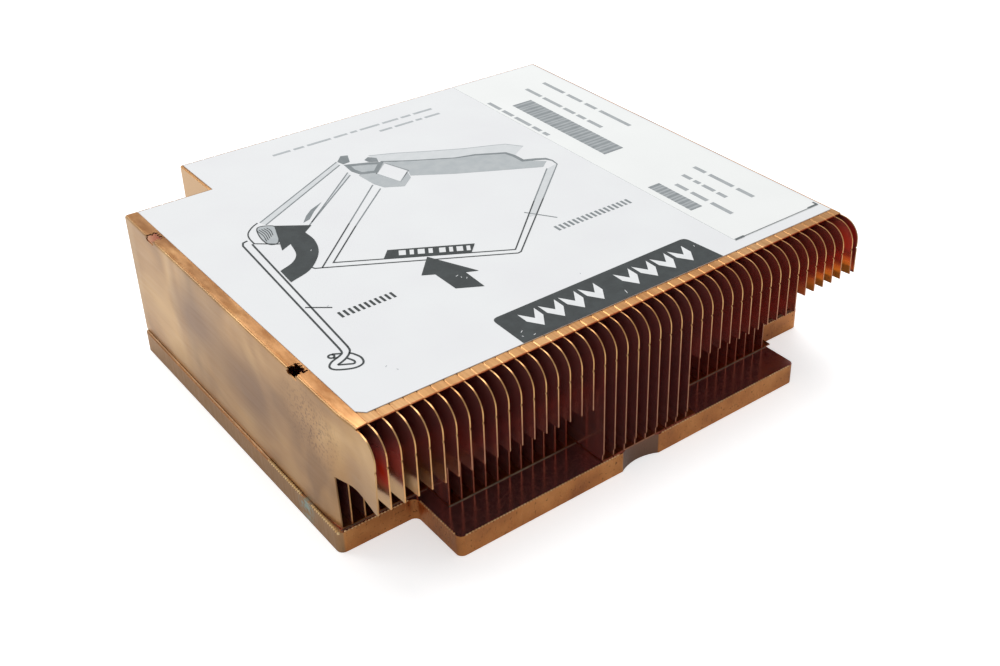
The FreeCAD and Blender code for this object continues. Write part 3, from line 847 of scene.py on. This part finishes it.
def sticker_print():
    """The sticker's print: two grey blocks with fine stripes, rows of bars beside them and
    the cutting marks at its front corners, joined by a thin line."""
    names = ("rows", "stripes", "frame")
    inks = {name: Print(sticker_low, sticker_high[2], layer)
            for layer, name in enumerate(names, start=1)}
    wide = (sticker_high - sticker_low)[0]
    for left, front, right, back, count in ((3.7, 35.0, 7.9, 61.3, 26),
                                            (1.3, 11.0, 3.7, 21.2, 12)):
        inks["rows"].area([(left, front), (right, front), (right, back), (left, back)])
        shares = [0.5 + 0.3 * math.sin(2.4 * stripe) for stripe in range(count)]
        bars(inks["stripes"], (right, front), (right, back), right - left, shares, 0.6)
    for x, start, end, shares in ((10.8, 43.8, 66.0, (5, 3, 4, 7, 6)),
                                  (15.2, 41.2, 66.4, (8, 3, 4, 6)),
                                  (6.0, 6.3, 19.2, (5, 4, 3)),
                                  (9.2, 10.8, 21.0, (3, 4, 2, 3)),
                                  (12.7, 8.2, 22.0, (4, 6, 3)),
                                  (1.4, 47.0, 65.0, (2, 3, 6, 4, 5))):
        bars(inks["rows"], (x, start), (x, end), 0.8, shares, 1)
    inks["frame"].line([(0.1, 0.1), (2.0, 0.1)], 0.35)
    inks["frame"].line([(2.0, 0.05), (wide - 2.2, 0.05)], 0.1)
    inks["frame"].line([(wide - 2.2, 0.15), (wide - 0.2, 0.15), (wide - 0.2, 1.0)], 0.35)
    return inks


# ---------------------------------------------------------------- solder and burrs
BEAD_SIDES = 6
RINGS_A_PITCH = 6
BASE_TOP = base_high[2]
SETBACK_Y = -31.5
TAB_LEFT = -32.1
TAB_RIGHT = 31.6
NOTCH_LEFT = -4.5
NOTCH_RIGHT = 3.5
DEEP_FOOT_Y = -30.95
SHALLOW_FOOT_Y = -35.9
DOTS_END = -11.8


def bead(target, path, radius, pitch, swing):
    """A bead along a level path: circles about its points, their radius rising and falling
    as a cosine of the distance gone."""
    path = np.asarray(path, float)
    steps = np.linalg.norm(np.diff(path, axis=0), axis=1)
    reach = np.concatenate([[0], np.cumsum(steps)])
    count = max(int(reach[-1] / pitch * RINGS_A_PITCH), 2)
    gone = np.linspace(0, reach[-1], count)
    middle = np.column_stack([np.interp(gone, reach, path[:, axis]) for axis in range(3)])
    ahead = np.gradient(middle, axis=0)
    ahead /= np.linalg.norm(ahead, axis=1)[:, None]
    across = np.column_stack([-ahead[:, 1], ahead[:, 0], np.zeros(count)])
    angle = np.linspace(0, 2 * math.pi, BEAD_SIDES, endpoint=False)
    size = radius * (1 - swing * (0.5 + 0.5 * np.cos(2 * math.pi * gone / pitch)))
    rings = (middle[:, None, :]
             + size[:, None, None] * (np.cos(angle)[None, :, None] * across[:, None, :]
                                      + np.sin(angle)[None, :, None] * np.array([0, 0, 1.0])))
    row = np.arange(count - 1)[:, None] * BEAD_SIDES
    step = np.arange(BEAD_SIDES)[None, :]
    follow = (step + 1) % BEAD_SIDES
    after = row + BEAD_SIDES
    quads = np.stack([row + step, row + follow, after + follow, after + step], axis=-1)
    first, last = np.arange(BEAD_SIDES)[::-1], np.arange(BEAD_SIDES) + (count - 1) * BEAD_SIDES
    ends = [first.tolist(), last.tolist()]
    target.add(rings.reshape(-1, 3), quads.reshape(-1, 4).tolist() + ends)


def edge_burr():
    """The row of tiny burrs that the cutter left along the base's top edges; their paler, less
    metallic copper is a painted glint.

    Real ones are smaller and closer; they are drawn this coarse so that they show.
    """
    made = Shapes()
    top = BASE_TOP + 0.01
    inset, side_margin = 0.1, 0.9
    left, right = base_low[0] + side_margin, base_high[0] - side_margin
    front, setback = base_low[1] + inset, SETBACK_Y + inset
    for path in ([(left, setback), (TAB_LEFT - 1, setback)],
                 [(TAB_LEFT + inset, setback - 1), (TAB_LEFT + inset, front + 1)],
                 [(TAB_LEFT + 1, front), (NOTCH_LEFT, front)],
                 [(NOTCH_RIGHT, front), (TAB_RIGHT - 1, front)],
                 [(TAB_RIGHT + 1, setback), (right, setback)]):
        bead(made, [(x, y, top) for x, y in path], radius=0.15, pitch=0.5, swing=0.8)
    return made


def foot_beads():
    """Solder that came out in dots under the foot of the end plate, but for one bare stretch."""
    made = Shapes()
    x = (plate_low[0] + base_low[0]) / 2
    for start, end in ((-31.4, -24.2), (-21.2, DOTS_END)):
        bead(made, [(x, start, BASE_TOP), (x, end, BASE_TOP)], radius=0.27, pitch=0.5,
             swing=0.75)
    return made


def foot_seams():
    """The solder that ran out, and dulled, in front of the feet of the fins."""
    made = Shapes()
    for start, end, y, radius in ((-43.2, -29.7, DEEP_FOOT_Y, 0.1),
                                  (-29.6, -7.7, SHALLOW_FOOT_Y, 0.2),
                                  (10.4, 31.4, SHALLOW_FOOT_Y, 0.14),
                                  (32.6, 43.4, DEEP_FOOT_Y, 0.1)):
        bead(made, [(start, y, BASE_TOP), (end, y, BASE_TOP)], radius, pitch=5.0,
             swing=0.25)
    return made


def end_plate_seam():
    """The smooth seam of solder beside the back half of the end plate, coloured tan as a
    painted highlight of the base's top edge catching the light.
    """
    made = Shapes()
    x = plate_low[0] - 0.05
    bead(made, [(x, DOTS_END, BASE_TOP), (x, 30.6, BASE_TOP)], radius=0.14, pitch=7.0,
         swing=0.3)
    return made


# ---------------------------------------------------------------- dress the part
copper = rolled_copper()
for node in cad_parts.values():
    node.data.materials.clear()
    node.data.materials.append(copper)
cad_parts["base_plate"].data.materials[0] = milled_copper()
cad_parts["instruction_label"].data.materials[0] = paper(
    "coated_label_paper", ("#E9EAEC", "#ECEEEF"), 0.45)
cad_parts["part_sticker"].data.materials[0] = paper(
    "matt_sticker_paper", ("#EFF1F0", "#F2F4F3"), 0.6)

handled = end_plate_copper()
plate = link_piece("end_plate", thicken(end_plate(), GAUGE, crease=40), handled)
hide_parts("fin_01")
# The plate that closes the row on the right was handled as much.
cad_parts["fin_45"].data.materials[0] = handled

black_ink = ink("black_press_ink", ("#373C3D", "#3F4546"), 0.55)
label_inks = {
    "faint": ink("faint_grey_press_ink", ("#D3D7D9", "#D9DCDE"), 0.55),
    "pale": ink("pale_grey_press_ink", ("#B2B8BB", "#BABFC1"), 0.55),
    "soft": ink("soft_grey_press_ink", ("#7F8689", "#8B9194"), 0.55),
    "fine": black_ink,
    "dark": black_ink,
    "white": ink("white_press_ink", ("#E6E8E9", "#ECEEEF"), 0.5),
}
for name, marks in label_print().items():
    marks.piece("label_print_" + name, label_inks[name], "label_paper")
sticker_inks = {
    "rows": ink("pale_ribbon_ink", ("#A6ABAE", "#AEB3B5"), 0.6),
    "stripes": ink("grey_ribbon_ink", ("#8B9194", "#949A9D"), 0.6),
    "frame": ink("dark_ribbon_ink", ("#5F6668", "#6C7375"), 0.6),
}
for name, marks in sticker_print().items():
    marks.piece("sticker_print_" + name, sticker_inks[name], "sticker_paper")
# The burrs' paler, less metallic copper is a painted glint.
edge_burr().piece("base_edge_burr", soft_solder(
    "copper_burr", ("#D2A06C", "#EBC492"), 0.4, 0.7), "base_copper")
# The dots' pale cream colour and low metal are a painted glint on the solder.
foot_beads().piece("end_plate_solder", soft_solder(
    "pale_solder_painted_glint", ("#E8BE80", "#FADCA6"), 0.4, 0.4), "fin_copper")
foot_seams().piece("foot_seams", soft_solder(
    "oxidised_soft_solder", ("#6E5E50", "#857460"), 0.5, 1.0), "fin_copper")
# The seam's tan colour is a painted highlight: the base's top edge catching the light.
end_plate_seam().piece("end_plate_seam", soft_solder(
    "solder_painted_highlight", ("#D0A77E", "#E2BC92"), 0.5, 0.6), "fin_copper")


# ---------------------------------------------------------------- studio
def pale_floor():
    """A sheet of white table paper: it takes shadows, and glows a little to the eye and in
    the metal, so that it ends up white."""
    eye_glow, metal_glow = 0.55, 0.12
    material, tree, _ = new_material("white_table_paper")
    sheet = add(tree, "BsdfPrincipled", {"Base Color": linear("#F2F2F2"), "Roughness": 0.9})
    path = add(tree, "LightPath", {})
    eye = add(tree, "Math", {0: path.outputs["Is Camera Ray"], 1: eye_glow},
              operation="MULTIPLY")
    metal = add(tree, "Math", {0: path.outputs["Is Glossy Ray"], 1: metal_glow},
                operation="MULTIPLY")
    seen = add(tree, "Math", {0: eye, 1: metal}, operation="ADD")
    glow = add(tree, "Emission", {"Strength": seen})
    both = add(tree, "AddShader", {0: sheet, 1: glow})
    add(tree, "OutputMaterial", {"Surface": both})
    half = 2.0
    mesh = bpy.data.meshes.new("floor")
    corners = [(-half, -half, 0), (half, -half, 0), (half, half, 0), (-half, half, 0)]
    mesh.from_pydata(corners, [], [(0, 1, 2, 3)])
    mesh.materials.append(material)
    floor = bpy.data.objects.new("floor", mesh)
    bpy.context.scene.collection.objects.link(floor)


def softbox(name, place, side, power):
    """A square lamp at a place, turned to the heatsink's middle; metres and watts."""
    lamp = bpy.data.lights.new(name, "AREA")
    lamp.shape = "SQUARE"
    lamp.size = side
    lamp.energy = power
    stand = bpy.data.objects.new(name, lamp)
    stand.location = place
    stand.rotation_euler = (-Vector(place)).to_track_quat("-Z", "Y").to_euler()
    bpy.context.scene.collection.objects.link(stand)


def room():
    """The world: a pale grey room that is white to the eye."""
    world = bpy.data.worlds.new("studio_room")
    world.use_nodes = True
    tree = world.node_tree
    tree.nodes.clear()
    eye = add(tree, "LightPath", {}).outputs["Is Camera Ray"]
    strength = add(tree, "MapRange", {"Value": eye, "To Min": 0.5, "To Max": 1.0})
    wall = add(tree, "Background", {"Color": linear("#FFFFFF"), "Strength": strength})
    add(tree, "OutputWorld", {"Surface": wall})
    bpy.context.scene.world = world


def camera():
    """A short telephoto at arm's length, above the front left corner."""
    lens = bpy.data.cameras.new("camera")
    lens.lens = 46.2
    lens.sensor_width = 36.0
    lens.shift_x = -0.094
    lens.shift_y = -0.0634
    eye = bpy.data.objects.new("camera", lens)
    eye.location = (-0.0995, -0.1496, 0.1192)
    eye.rotation_euler = [math.radians(angle) for angle in (59.29, -0.52, -39.54)]
    bpy.context.scene.collection.objects.link(eye)
    bpy.context.scene.camera = eye


pale_floor()
room()
softbox("overhead_softbox", (0.15, 0.3, 0.75), side=0.6, power=3.6)
softbox("back_left_softbox", (-0.41, 0.53, 0.44), side=0.25, power=0.9)
camera()
bpy.context.scene.view_settings.view_transform = "Standard"
